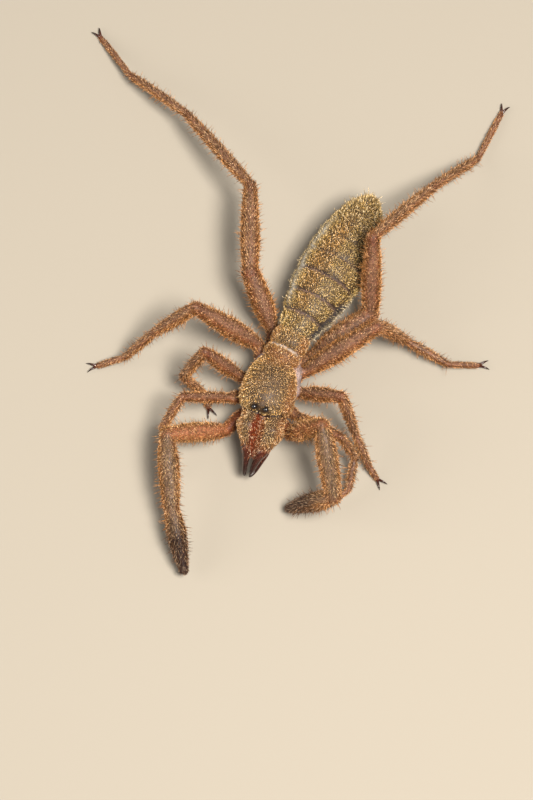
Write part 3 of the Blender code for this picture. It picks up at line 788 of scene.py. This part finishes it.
print("flat map for", len(COAT_GROUPS), "regions")

# %% [markdown]
# ## Store it on the mesh
# Named attributes carry the numbers from Python to Geometry Nodes and to the materials.

# %% Attributes of the skin
KEYS = {"FLOAT": "value", "INT": "value", "FLOAT_VECTOR": "vector", "FLOAT_COLOR": "color"}


def store(mesh, name, kind, values):
    attribute = mesh.attributes.new(name, kind, "POINT")
    attribute.data.foreach_set(KEYS[kind], np.ascontiguousarray(values).ravel())


solid = np.ones((count, 1))
group_number = np.array([COAT_GROUPS.index(PARTS[name]["group"]) for name in part_names])[part_of]
store(skin_mesh, "skin_tint", "FLOAT_COLOR", np.hstack((skin_tint, solid)))
store(skin_mesh, "coat_tint", "FLOAT_COLOR", np.hstack((coat_tint, solid)))
store(skin_mesh, "lie", "FLOAT_VECTOR", lie)
store(skin_mesh, "region", "INT", group_number)
for name, values in (("cover", np.clip(cover, 0, 1)), ("long_cover", np.clip(long_cover, 0, 1)),
                     ("hair_length", hair_length), ("stand", stand), ("gloss", gloss)):
    store(skin_mesh, name, "FLOAT", values)
skin_mesh.shade_smooth()
print("attributes:", [a.name for a in skin_mesh.attributes if not a.name.startswith(".")])

# %% [markdown]
# ## The skin's finish
# Cuticle is a thin leathery shell: half glossy, with fine pits where the bristles are
# rooted and soft blotches of pigment. The colour comes from the attribute. Two noises
# vary it, and fine cells press the pits as bump. All patterns read Object coordinates, so
# they stay in place when the model turns.

# %% Skin material
BLOTCH_MM, GRAIN_MM, PIT_MM = 0.9, 0.16, 0.13
PIT_DEPTH, GRAIN_DEPTH = 0.03 * MM, 0.04 * MM


def add(tree, kind, **settings):
    """A node of this kind. A setting feeds the input of that name, or else is a property."""
    node = tree.nodes.new(kind)
    for key, value in settings.items():
        if key.replace("_", " ") in node.inputs:
            set_inputs(tree, node, **{key: value})
        else:
            setattr(node, key, value)
    return node


def noise(tree, size_mm, detail, place):
    node = add(tree, "ShaderNodeTexNoise", Scale=1 / (size_mm * MM), Detail=detail, Vector=place)
    return node.outputs["Fac"]


def graded(tree, value, low, high, from_low=0.0, from_high=1.0):
    """The value, with its range stretched to run from low to high."""
    node = add(tree, "ShaderNodeMapRange", Value=value, From_Min=from_low, From_Max=from_high,
               To_Min=low, To_Max=high)
    return node.outputs["Result"]


def scalar(tree, operation, a, b):
    node = add(tree, "ShaderNodeMath", operation=operation)
    feed(tree, node.inputs[0], a)
    feed(tree, node.inputs[1], b)
    return node.outputs["Value"]


def vector(tree, operation, a, b):
    """Vector arithmetic; SCALE takes a number as b, and also dims or brightens a colour."""
    node = add(tree, "ShaderNodeVectorMath", operation=operation)
    feed(tree, node.inputs[0], a)
    feed(tree, node.inputs["Scale" if operation == "SCALE" else 1], b)
    return node.outputs["Vector"]


def stored(tree, name, output="Fac"):
    return add(tree, "ShaderNodeAttribute", attribute_name=name).outputs[output]


def own_place(tree):
    return add(tree, "ShaderNodeTexCoord").outputs["Object"]


skin_material, tree, shader = new_material("cuticle")
where = own_place(tree)
blotch = noise(tree, BLOTCH_MM, 3, where)
grain = noise(tree, GRAIN_MM, 2, where)
cells = add(tree, "ShaderNodeTexVoronoi", feature="F1", Scale=1 / (PIT_MM * MM), Vector=where)
pits = cells.outputs["Distance"]
shade = scalar(tree, "MULTIPLY", graded(tree, blotch, 0.7, 1.3, 0.3, 0.7),
               graded(tree, grain, 0.65, 1.35, 0.3, 0.7))
shade = scalar(tree, "MULTIPLY", shade, graded(tree, pits, 0.55, 1.1, 0.05, 0.5))
roughness = scalar(tree, "MULTIPLY", stored(tree, "gloss"), graded(tree, grain, 0.8, 1.25, 0.3, 0.7))
pit_bump = add(tree, "ShaderNodeBump", Strength=0.5, Distance=PIT_DEPTH, Height=pits)
bump = add(tree, "ShaderNodeBump", Strength=0.4, Distance=GRAIN_DEPTH, Height=grain,
           Normal=pit_bump.outputs["Normal"])
set_inputs(tree, shader, Base_Color=vector(tree, "SCALE", stored(tree, "skin_tint", "Color"), shade),
           Roughness=roughness, Specular_IOR_Level=0.22, Normal=bump.outputs["Normal"])
skin_mesh.materials.append(skin_material)
print("cuticle material with", len(tree.nodes), "nodes")

# %% [markdown]
# ## One bristle
# A bristle is a stiff tapering rod. It is repeated tens of thousands of times, so it gets
# three sides and three levels only: ten triangles. It is one unit long and leans over
# towards +X, the side that will lie along the coat. `tip` runs from 0 at the root to 1 at
# the point, and `patch` is the bristle's own small share of the flat map.

# %% Bristle mesh


def bristle(name, levels, bend):
    """One bristle, from its levels' heights and widths and the bend of its point."""
    points, faces, tips, patches = [], [], [], []
    for height, width in levels[:-1]:
        for k in range(3):
            angle = math.radians(120 * k + 30)
            points.append((bend * height ** 2 + width * math.cos(angle), width * math.sin(angle), height))
            tips.append(height)
            patches.append((k / 2 - 0.5, height - 0.5, 0))
    points.append((bend, 0, levels[-1][0]))
    tips.append(1.0)
    patches.append((0, 0.5, 0))
    for r in range(len(levels) - 2):
        for k in range(3):
            a, b = 3 * r + k, 3 * r + (k + 1) % 3
            faces += [(a, b, b + 3), (a, b + 3, a + 3)]
    last = 3 * (len(levels) - 2)
    faces += [(last + k, last + (k + 1) % 3, len(points) - 1) for k in range(3)]
    faces.append((2, 1, 0))
    mesh = bpy.data.meshes.new(name)
    mesh.from_pydata(points, [], faces)
    mesh.shade_smooth()
    store(mesh, "tip", "FLOAT", np.array(tips, float))
    store(mesh, "patch", "FLOAT_VECTOR", np.array(patches, float))
    return new_object(name, mesh)


short_bristle = bristle("short bristle", ((0, 1.0), (0.5, 0.8), (1.0, 0)), 0.28)
long_bristle = bristle("long bristle", ((0, 1.0), (0.35, 0.8), (0.7, 0.5), (1.0, 0)), 0.22)
print("bristles of", len(short_bristle.data.polygons), "and", len(long_bristle.data.polygons), "triangles")

# %% [markdown]
# ## The coat as Geometry Nodes
# Thousands of bristles that follow a surface are a job for Geometry Nodes. Points are
# scattered over one region of the skin at an even distance, thinned by `cover`. Each point
# gets a bristle turned so that it leans out of the surface by `Stand` and along the lie,
# with a little scatter, its own length and its own shade. The copies are made real at the
# end, because the part is kept as plain meshes, and their places on the flat map are
# written as a patch round their root.

# %% Build the node tree
PATCH = 0.003
INPUTS = {"Skin": "Geometry", "Bristle": "Object", "Region": "Int", "Density": "Float",
          "Spacing": "Float", "Length": "Float", "Thickness": "Float", "Stand": "Float",
          "Scatter": "Float", "Seed": "Int", "Cover": "String", "Material": "Material"}
coat_tree = bpy.data.node_groups.new("bristle coat", "GeometryNodeTree")
for title, kind in INPUTS.items():
    coat_tree.interface.new_socket(title, in_out="INPUT", socket_type="NodeSocket" + kind)
coat_tree.interface.new_socket("Coat", in_out="OUTPUT", socket_type="NodeSocketGeometry")
given = add(coat_tree, "NodeGroupInput").outputs


def named(name, kind="FLOAT"):
    return add(coat_tree, "GeometryNodeInputNamedAttribute", data_type=kind, Name=name).outputs["Attribute"]


def random_value(kind, low, high, offset):
    seed = scalar(coat_tree, "ADD", given["Seed"], offset)
    node = add(coat_tree, "FunctionNodeRandomValue", data_type=kind, Min=low, Max=high, Seed=seed)
    return node.outputs["Value"]


in_region = add(coat_tree, "FunctionNodeCompare", data_type="INT", operation="EQUAL",
                A=named("region", "INT"), B=given["Region"])
scatter = add(coat_tree, "GeometryNodeDistributePointsOnFaces", distribute_method="POISSON",
              Mesh=given["Skin"], Selection=in_region.outputs["Result"], Seed=given["Seed"],
              Distance_Min=given["Spacing"], Density_Max=given["Density"],
              Density_Factor=named(given["Cover"]))
shaded = add(coat_tree, "GeometryNodeStoreNamedAttribute", data_type="FLOAT", domain="POINT",
             Geometry=scatter.outputs["Points"], Name="shade", Value=random_value("FLOAT", 0, 1, 11))

lie_here = named("lie", "FLOAT_VECTOR")
outward = scatter.outputs["Normal"]
rise = scalar(coat_tree, "MULTIPLY", given["Stand"], named("stand"))
stray = random_value("FLOAT_VECTOR", (-1, -1, -1), (1, 1, 1), 23)
leaning = vector(coat_tree, "ADD", lie_here, vector(coat_tree, "SCALE", outward, rise))
leaning = vector(coat_tree, "ADD", leaning, vector(coat_tree, "SCALE", stray, given["Scatter"]))
point_up = add(coat_tree, "FunctionNodeAlignRotationToVector", axis="Z", Vector=leaning)
bend_over = add(coat_tree, "FunctionNodeAlignRotationToVector", axis="X", pivot_axis="Z",
                Rotation=point_up.outputs["Rotation"],
                Vector=vector(coat_tree, "SUBTRACT", lie_here, outward))
length = scalar(coat_tree, "MULTIPLY", given["Length"], named("hair_length"))
length = scalar(coat_tree, "MULTIPLY", length, random_value("FLOAT", 0.65, 1.2, 37))
size = add(coat_tree, "ShaderNodeCombineXYZ", X=given["Thickness"], Y=given["Thickness"], Z=length)

shape = add(coat_tree, "GeometryNodeObjectInfo", Object=given["Bristle"])
copies = add(coat_tree, "GeometryNodeInstanceOnPoints", Points=shaded.outputs["Geometry"],
             Instance=shape.outputs["Geometry"], Rotation=bend_over.outputs["Rotation"],
             Scale=size.outputs["Vector"])
real = add(coat_tree, "GeometryNodeRealizeInstances", Geometry=copies.outputs["Instances"])
patch = vector(coat_tree, "SCALE", named("patch", "FLOAT_VECTOR"), PATCH)
on_map = add(coat_tree, "GeometryNodeStoreNamedAttribute", data_type="FLOAT2", domain="CORNER",
             Geometry=real.outputs["Geometry"], Name="OFBake",
             Value=vector(coat_tree, "ADD", named("skin_map", "FLOAT_VECTOR"), patch))
dressed = add(coat_tree, "GeometryNodeSetMaterial", Geometry=on_map.outputs["Geometry"],
              Material=given["Material"])
add(coat_tree, "NodeGroupOutput", Coat=dressed.outputs["Geometry"])
print("coat tree with", len(coat_tree.nodes), "nodes")

# %% [markdown]
# ## The bristles' finish
# A bristle is darker at its root and clear, golden horn towards its point, and no two have
# quite the same shade. The palest are nearly straw, partly their own colour and partly painted
# glints, and tufts of them differ in brightness.
# Each finish gives its brightness at root and tip, then that of its darkest and lightest
# bristles, and how far the palest go towards straw.

# %% Bristle material
STRAW = (0.86, 0.74, 0.52, 1)
TUFT_MM = 0.13


def bristle_material(name, root, tip, darkest, lightest, paleness):
    mat, tree, shader = new_material(name)
    shade = stored(tree, "shade")
    light = scalar(tree, "MULTIPLY", graded(tree, stored(tree, "tip"), root, tip),
                   graded(tree, shade, darkest, lightest))
    tuft = noise(tree, TUFT_MM, 1, own_place(tree))
    light = scalar(tree, "MULTIPLY", light, graded(tree, tuft, 0.35, 1.7, 0.36, 0.66))
    # The palest bristles are mixed towards straw: partly their own colour, partly painted glints.
    pale = add(tree, "ShaderNodeMixRGB", Fac=graded(tree, shade, 0.0, paleness, 0.55, 1.0),
               Color1=stored(tree, "coat_tint", "Color"), Color2=STRAW)
    set_inputs(tree, shader, Base_Color=vector(tree, "SCALE", pale.outputs["Color"], light),
               Roughness=0.45, Specular_IOR_Level=0.3)
    return mat


coat_material = bristle_material("bristles", 0.2, 1.3, 0.35, 1.55, 0.6)
limb_material = bristle_material("limb bristles", 0.2, 1.04, 0.2, 1.6, 0.35)
hair_material = bristle_material("long hairs", 0.25, 0.65, 0.5, 1.3, 0.1)
print("three bristle materials")

# %% [markdown]
# ## Grow the coats
# Each region gets a coat of its own, so that no mesh grows too large: one for the head, one
# for the abdomen and one for each limb. The same tree grows them all, with other numbers.

# %% Grow one coat per region
KEPT = ("position", "coat_tint", "tip", "shade", "OFBake", "material_index", "sharp_face")
FLOOR_GAP = 0.004 * MM
TITLES = ("Density", "Spacing", "Length", "Thickness", "Stand", "Scatter", "Material")
skin = new_object("skin", skin_mesh)
pieces = []


def socket_id(title):
    return next(item.identifier for item in coat_tree.interface.items_tree
                if item.name == title and item.in_out == "INPUT")


def grow(name, values):
    """Grows bristles on the skin and keeps them as a plain piece in the frame."""
    carrier = new_object("carrier", skin_mesh)
    modifier = carrier.modifiers.new("Coat", "NODES")
    modifier.node_group = coat_tree
    for title, value in values.items():
        modifier[socket_id(title)] = value
    mesh = evaluated_mesh(carrier)
    bpy.data.objects.remove(carrier, do_unlink=True)
    for extra in [a.name for a in mesh.attributes if a.name not in KEPT and not a.name.startswith(".")]:
        mesh.attributes.remove(mesh.attributes[extra])
    mesh.materials.clear()
    mesh.materials.append(values["Material"])
    mesh.polygons.foreach_set("material_index", np.zeros(len(mesh.polygons), int))
    mesh.transform(TO_FRAME)
    places = read(mesh.vertices, "co", 3)
    places[:, 2] = np.maximum(places[:, 2], FLOOR_GAP)
    mesh.vertices.foreach_set("co", places.ravel())
    mesh.name = name
    pieces.append(new_object(name, mesh))
    print(name, len(mesh.polygons), "triangles")


def grow_all(prefix, shape_obj, cover_name, seed, plan):
    """One piece for each region; a region that the plan doesn't name is grown as a limb."""
    for i, group in enumerate(COAT_GROUPS):
        grow(prefix + group, {"Bristle": shape_obj, "Region": i, "Seed": seed + i, "Cover": cover_name,
                              **dict(zip(TITLES, plan.get(group, plan["limb"])))})


grow_all("coat_", short_bristle, "cover", 100, {
    "limb": (170.0, 0.062, 0.29, 0.021, 0.9, 0.55, limb_material),
    "abdomen": (180.0, 0.058, 0.16, 0.025, 1.1, 0.9, coat_material),
    "head": (150.0, 0.065, 0.17, 0.027, 1.8, 0.8, coat_material)})

# %% [markdown]
# ## Long hairs
# Between the short bristles stand single long hairs, which feel the ground and the air. They
# are few, thin and upright, so they are grown from the same tree with a wide spacing.

# %% Grow the long hairs
grow_all("hairs_", long_bristle, "long_cover", 300, {
    "limb": (11.0, 0.19, 0.66, 0.03, 3.0, 0.8, hair_material),
    "abdomen": (9.0, 0.2, 0.36, 0.03, 1.2, 0.8, coat_material),
    "head": (9.0, 0.2, 0.34, 0.03, 1.5, 0.8, hair_material)})
for shape_obj in (short_bristle, long_bristle):
    bpy.data.objects.remove(shape_obj, do_unlink=True)
for spare in ("lie", "cover", "long_cover", "hair_length", "stand", "region", "coat_tint"):
    skin_mesh.attributes.remove(skin_mesh.attributes[spare])
skin_mesh.transform(TO_FRAME)
print(sum(len(p.data.polygons) for p in pieces), "triangles of coat in", len(pieces), "pieces")

# %% [markdown]
# ## Horn: fingers, teeth and claws
# The fingers and claws are solid horn, darkest and glossiest at the point. They are drawn
# as smooth bent tubes. Teeth are short cones set along the biting edges. `reach` runs from
# 0 at the root to 1 at the point and darkens the horn.

# %% Horn shapes
TOOTH_SHAPE = ((0, 1), (0.3, 0.92), (0.6, 0.6), (0.85, 0.3), (1, 0.06))
STREAK_MM, STREAK_DEPTH = 0.2, 0.02 * MM


def horn_piece(name, paths, material, sides=20):
    """One piece of closed tapering tubes. A path's row is x, y, z, half width, half height."""
    points, faces, reach = [], [], []
    for path, dark_from, dark_to in paths:
        faces += ring_faces(len(points), len(path), sides)
        ahead = np.gradient(path[:, :3], axis=0)
        for i, row in enumerate(path):
            forward_here = unit(ahead[i])
            across = np.cross(forward_here, (0, 0, 1))
            if np.linalg.norm(across) < 0.2:
                across = np.cross(forward_here, (0, 1, 0))
            across = unit(across)
            upward = np.cross(across, forward_here)
            for k in range(sides):
                angle = 2 * math.pi * k / sides
                points.append(row[:3] + across * row[3] * math.cos(angle) + upward * row[4] * math.sin(angle))
                reach.append(dark_from + (dark_to - dark_from) * i / (len(path) - 1))
    mesh = bpy.data.meshes.new(name)
    mesh.from_pydata(points, [], faces)
    mesh.shade_smooth()
    store(mesh, "reach", "FLOAT", np.array(reach))
    mesh.transform(TO_FRAME)
    mesh.materials.append(material)
    pieces.append(new_object(name, mesh))


def tooth_path(root, tip, radius):
    root, tip = np.array(root, float), np.array(tip, float)
    return np.array([(*(root + (tip - root) * t), radius * w, radius * w) for t, w in TOOTH_SHAPE])


def colour_ramp(tree, value, *stops):
    """The value turned into a colour, by stops of place and colour from 0 to 1."""
    node = add(tree, "ShaderNodeValToRGB", Fac=value)
    for place, _ in stops[1:-1]:
        node.color_ramp.elements.new(place)
    for element, (place, colour) in zip(node.color_ramp.elements, stops):
        element.position = place
        element.color = (*colour, 1)
    return node.outputs["Color"]


horn_material, tree, shader = new_material("horn")
colour = colour_ramp(tree, stored(tree, "reach"), (0, (0.060, 0.013, 0.005)),
                     (0.42, (0.028, 0.007, 0.004)), (1, (0.009, 0.004, 0.003)))
streaks = noise(tree, STREAK_MM, 3, own_place(tree))
bump = add(tree, "ShaderNodeBump", Strength=0.3, Distance=STREAK_DEPTH, Height=streaks)
set_inputs(tree, shader, Base_Color=vector(tree, "SCALE", colour, graded(tree, streaks, 0.6, 1.5, 0.3, 0.7)),
           Roughness=graded(tree, streaks, 0.12, 0.32, 0.3, 0.7), Coat_Weight=0.2, Coat_Roughness=0.08,
           Specular_IOR_Level=0.35, Normal=bump.outputs["Normal"])
print("horn material with", len(tree.nodes), "nodes")

# %% [markdown]
# ## The biting fingers
# The upper finger comes out of its bulb and bends down to a sharp point. The lower one is
# hinged below it and bends up. Their teeth meet between them.

# %% Fingers with teeth
UPPER_TEETH = ((0.32, 0.30, 0.13), (0.45, 0.34, 0.15), (0.57, 0.24, 0.11), (0.68, 0.30, 0.13),
               (0.79, 0.18, 0.09))
LOWER_TEETH = ((0.4, 0.26, 0.12), (0.55, 0.3, 0.13), (0.68, 0.2, 0.1))
FINGER_RINGS = 32
for side, label in ((-1, "r"), (1, "l")):
    upper = smooth_rows(jaw_side(JAW, side)[3:], FINGER_RINGS)
    upper[:, 3:] -= 0.02
    upper[:8, 3:] *= np.linspace(0.6, 1.0, 8)[:, None]
    lower = smooth_rows(jaw_side(LOWER_FINGER, side), FINGER_RINGS)
    upper[-1, 3:] = lower[-1, 3:] = 0.02
    paths = [(upper, -0.15, 1.0)]
    for t, drop, size in UPPER_TEETH:
        x, y, z, _, high = upper[int(t * (FINGER_RINGS - 1))]
        root, tip = (x - side * 0.05, y, z - 0.6 * high), (x - side * 0.12, y + 0.05, z - high - drop)
        paths.append((tooth_path(root, tip, size), t, 0.9))
    horn_piece("upper_finger_" + label, paths, horn_material)
    paths = [(lower, -0.1, 1.0)]
    for t, rise, size in LOWER_TEETH:
        x, y, z, _, high = lower[int(t * (FINGER_RINGS - 1))]
        root, tip = (x, y, z + 0.5 * high), (x - side * 0.04, y + 0.03, z + high + rise)
        paths.append((tooth_path(root, tip, size), t, 0.9))
    horn_piece("lower_finger_" + label, paths, horn_material)
print("four fingers with their teeth")

# %% [markdown]
# ## Claws
# The feet of the last three pairs end in two slender claws. The first pair is held up as
# feelers and has none to stand on. A claw is paler at its root and dark at its hook.

# %% Two claws a foot
CLAW_LENGTH, CLAW_RADIUS, CLAW_SPREAD = 0.85, 0.16, math.radians(24)
CLAW_SHAPE = ((0.0, 0.0, 0.75), (0.3, 0.10, 0.6), (0.6, 0.12, 0.42), (0.85, 0.04, 0.25),
              (1.0, -0.12, 0.06))
for name, joints in JOINTS.items():
    limb = name.split("_")[0]
    if limb in ("palp", "leg1"):
        continue
    ball = RADII[limb][-1][2]
    heading = math.radians(STANCE[name][-1][0])
    paths = []
    for turn_by in (-CLAW_SPREAD, CLAW_SPREAD):
        way = Vector((math.cos(heading + turn_by), math.sin(heading + turn_by), 0))
        rows = []
        for t, rise, width in CLAW_SHAPE:
            point = joints[-1] + way * (ball * 0.3 + CLAW_LENGTH * t) + Vector((0, 0, rise * CLAW_LENGTH))
            rows.append((*point, CLAW_RADIUS * width, CLAW_RADIUS * width))
        path = smooth_rows(rows, 16)
        path[:, 2] = np.maximum(path[:, 2], path[:, 4] + 0.01)
        paths.append((path, 0.1, 1.0))
    horn_piece("claws_" + name, paths, horn_material, sides=10)
print("claws on six feet")

# %% [markdown]
# ## Racket organs
# Under the roots of the last legs hang five pale fans on stalks on each side. They smell
# the ground. They are thin and waxy and have no bristles.

# %% Fans on stalks
FAN_LENGTH, FANS = 1.2, 5
FAN_SHAPE = ((0, 0.09, 0.09), (0.4, 0.08, 0.07), (0.62, 0.14, 0.08), (0.85, 0.36, 0.06),
             (0.97, 0.38, 0.05), (1.0, 0.3, 0.02))
fan_material, tree, shader = new_material("waxy fans")
ivory = colour_ramp(tree, noise(tree, 0.3, 2, own_place(tree)), (0, (0.42, 0.27, 0.17)),
                    (1, (0.66, 0.52, 0.38)))
set_inputs(tree, shader, Base_Color=ivory, Roughness=0.5)
for side, label in ((-1, "r"), (1, "l")):
    inner, _, outer = JOINTS["leg4_" + label][:3]
    paths = []
    for k in range(FANS):
        root = inner.lerp(outer, 0.15 + 0.17 * k) - Vector((0, 0, 0.35))
        lean = Vector((side * 0.12 * (k - 1), 0.05 * k, -1)) * FAN_LENGTH
        rows = [(*(root + lean * t), wide, deep) for t, wide, deep in FAN_SHAPE]
        paths.append((smooth_rows(rows, 20), 0.0, 1.0))
    horn_piece("fans_" + label, paths, fan_material, sides=14)
print("ten fans")

# %% [markdown]
# ## Eyes
# The two eyes are smooth glassy beads that sit side by side on the mound. They are nearly
# black, and so smooth that each shows one small sharp light.

# %% Eyes
EYE_RADIUS, EYE_SEGMENTS, EYE_RINGS = 0.24, 24, 16
eye_material, tree, shader = new_material("glassy eye")
black = add(tree, "ShaderNodeRGB").outputs["Color"]
black.default_value = (0.012, 0.009, 0.008, 1)
haze = graded(tree, noise(tree, 0.25, 1, own_place(tree)), 0.6, 1.2)
set_inputs(tree, shader, Base_Color=vector(tree, "SCALE", black, haze), Roughness=0.03,
           Specular_IOR_Level=0.5)
for label in ("l", "r"):
    ball = bmesh.new()
    bmesh.ops.create_uvsphere(ball, u_segments=EYE_SEGMENTS, v_segments=EYE_RINGS, radius=EYE_RADIUS)
    mesh = bpy.data.meshes.new("eyeball_" + label)
    ball.to_mesh(mesh)
    ball.free()
    mesh.shade_smooth()
    mesh.transform(Matrix.Translation(node_middle("eye_" + label)) @ Matrix.Scale(MM, 4))
    mesh.materials.append(eye_material)
    pieces.append(new_object("eyeball_" + label, mesh))
print("two eyes of", EYE_RADIUS * 2, "mm")

# %% [markdown]
# ## Tie the pieces to the solids
# The skin, the eyes and the lower fingers stand for the solids, which stay for collision only.
# Every piece rides on the one body, because the model has no joints.

# %% Ride and replace
hard_nodes = ("eye_l", "eye_r", "finger_l", "finger_r")
flesh = [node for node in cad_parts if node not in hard_nodes]
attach(skin, "root")
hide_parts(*flesh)
for piece in pieces:
    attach(piece, "root")
    if piece.name.startswith("eyeball"):
        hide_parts("eye" + piece.name[-2:])
    if piece.name.startswith("lower_finger"):
        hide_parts("finger" + piece.name[-2:])
print(len(pieces) + 1, "pieces ride on the root")
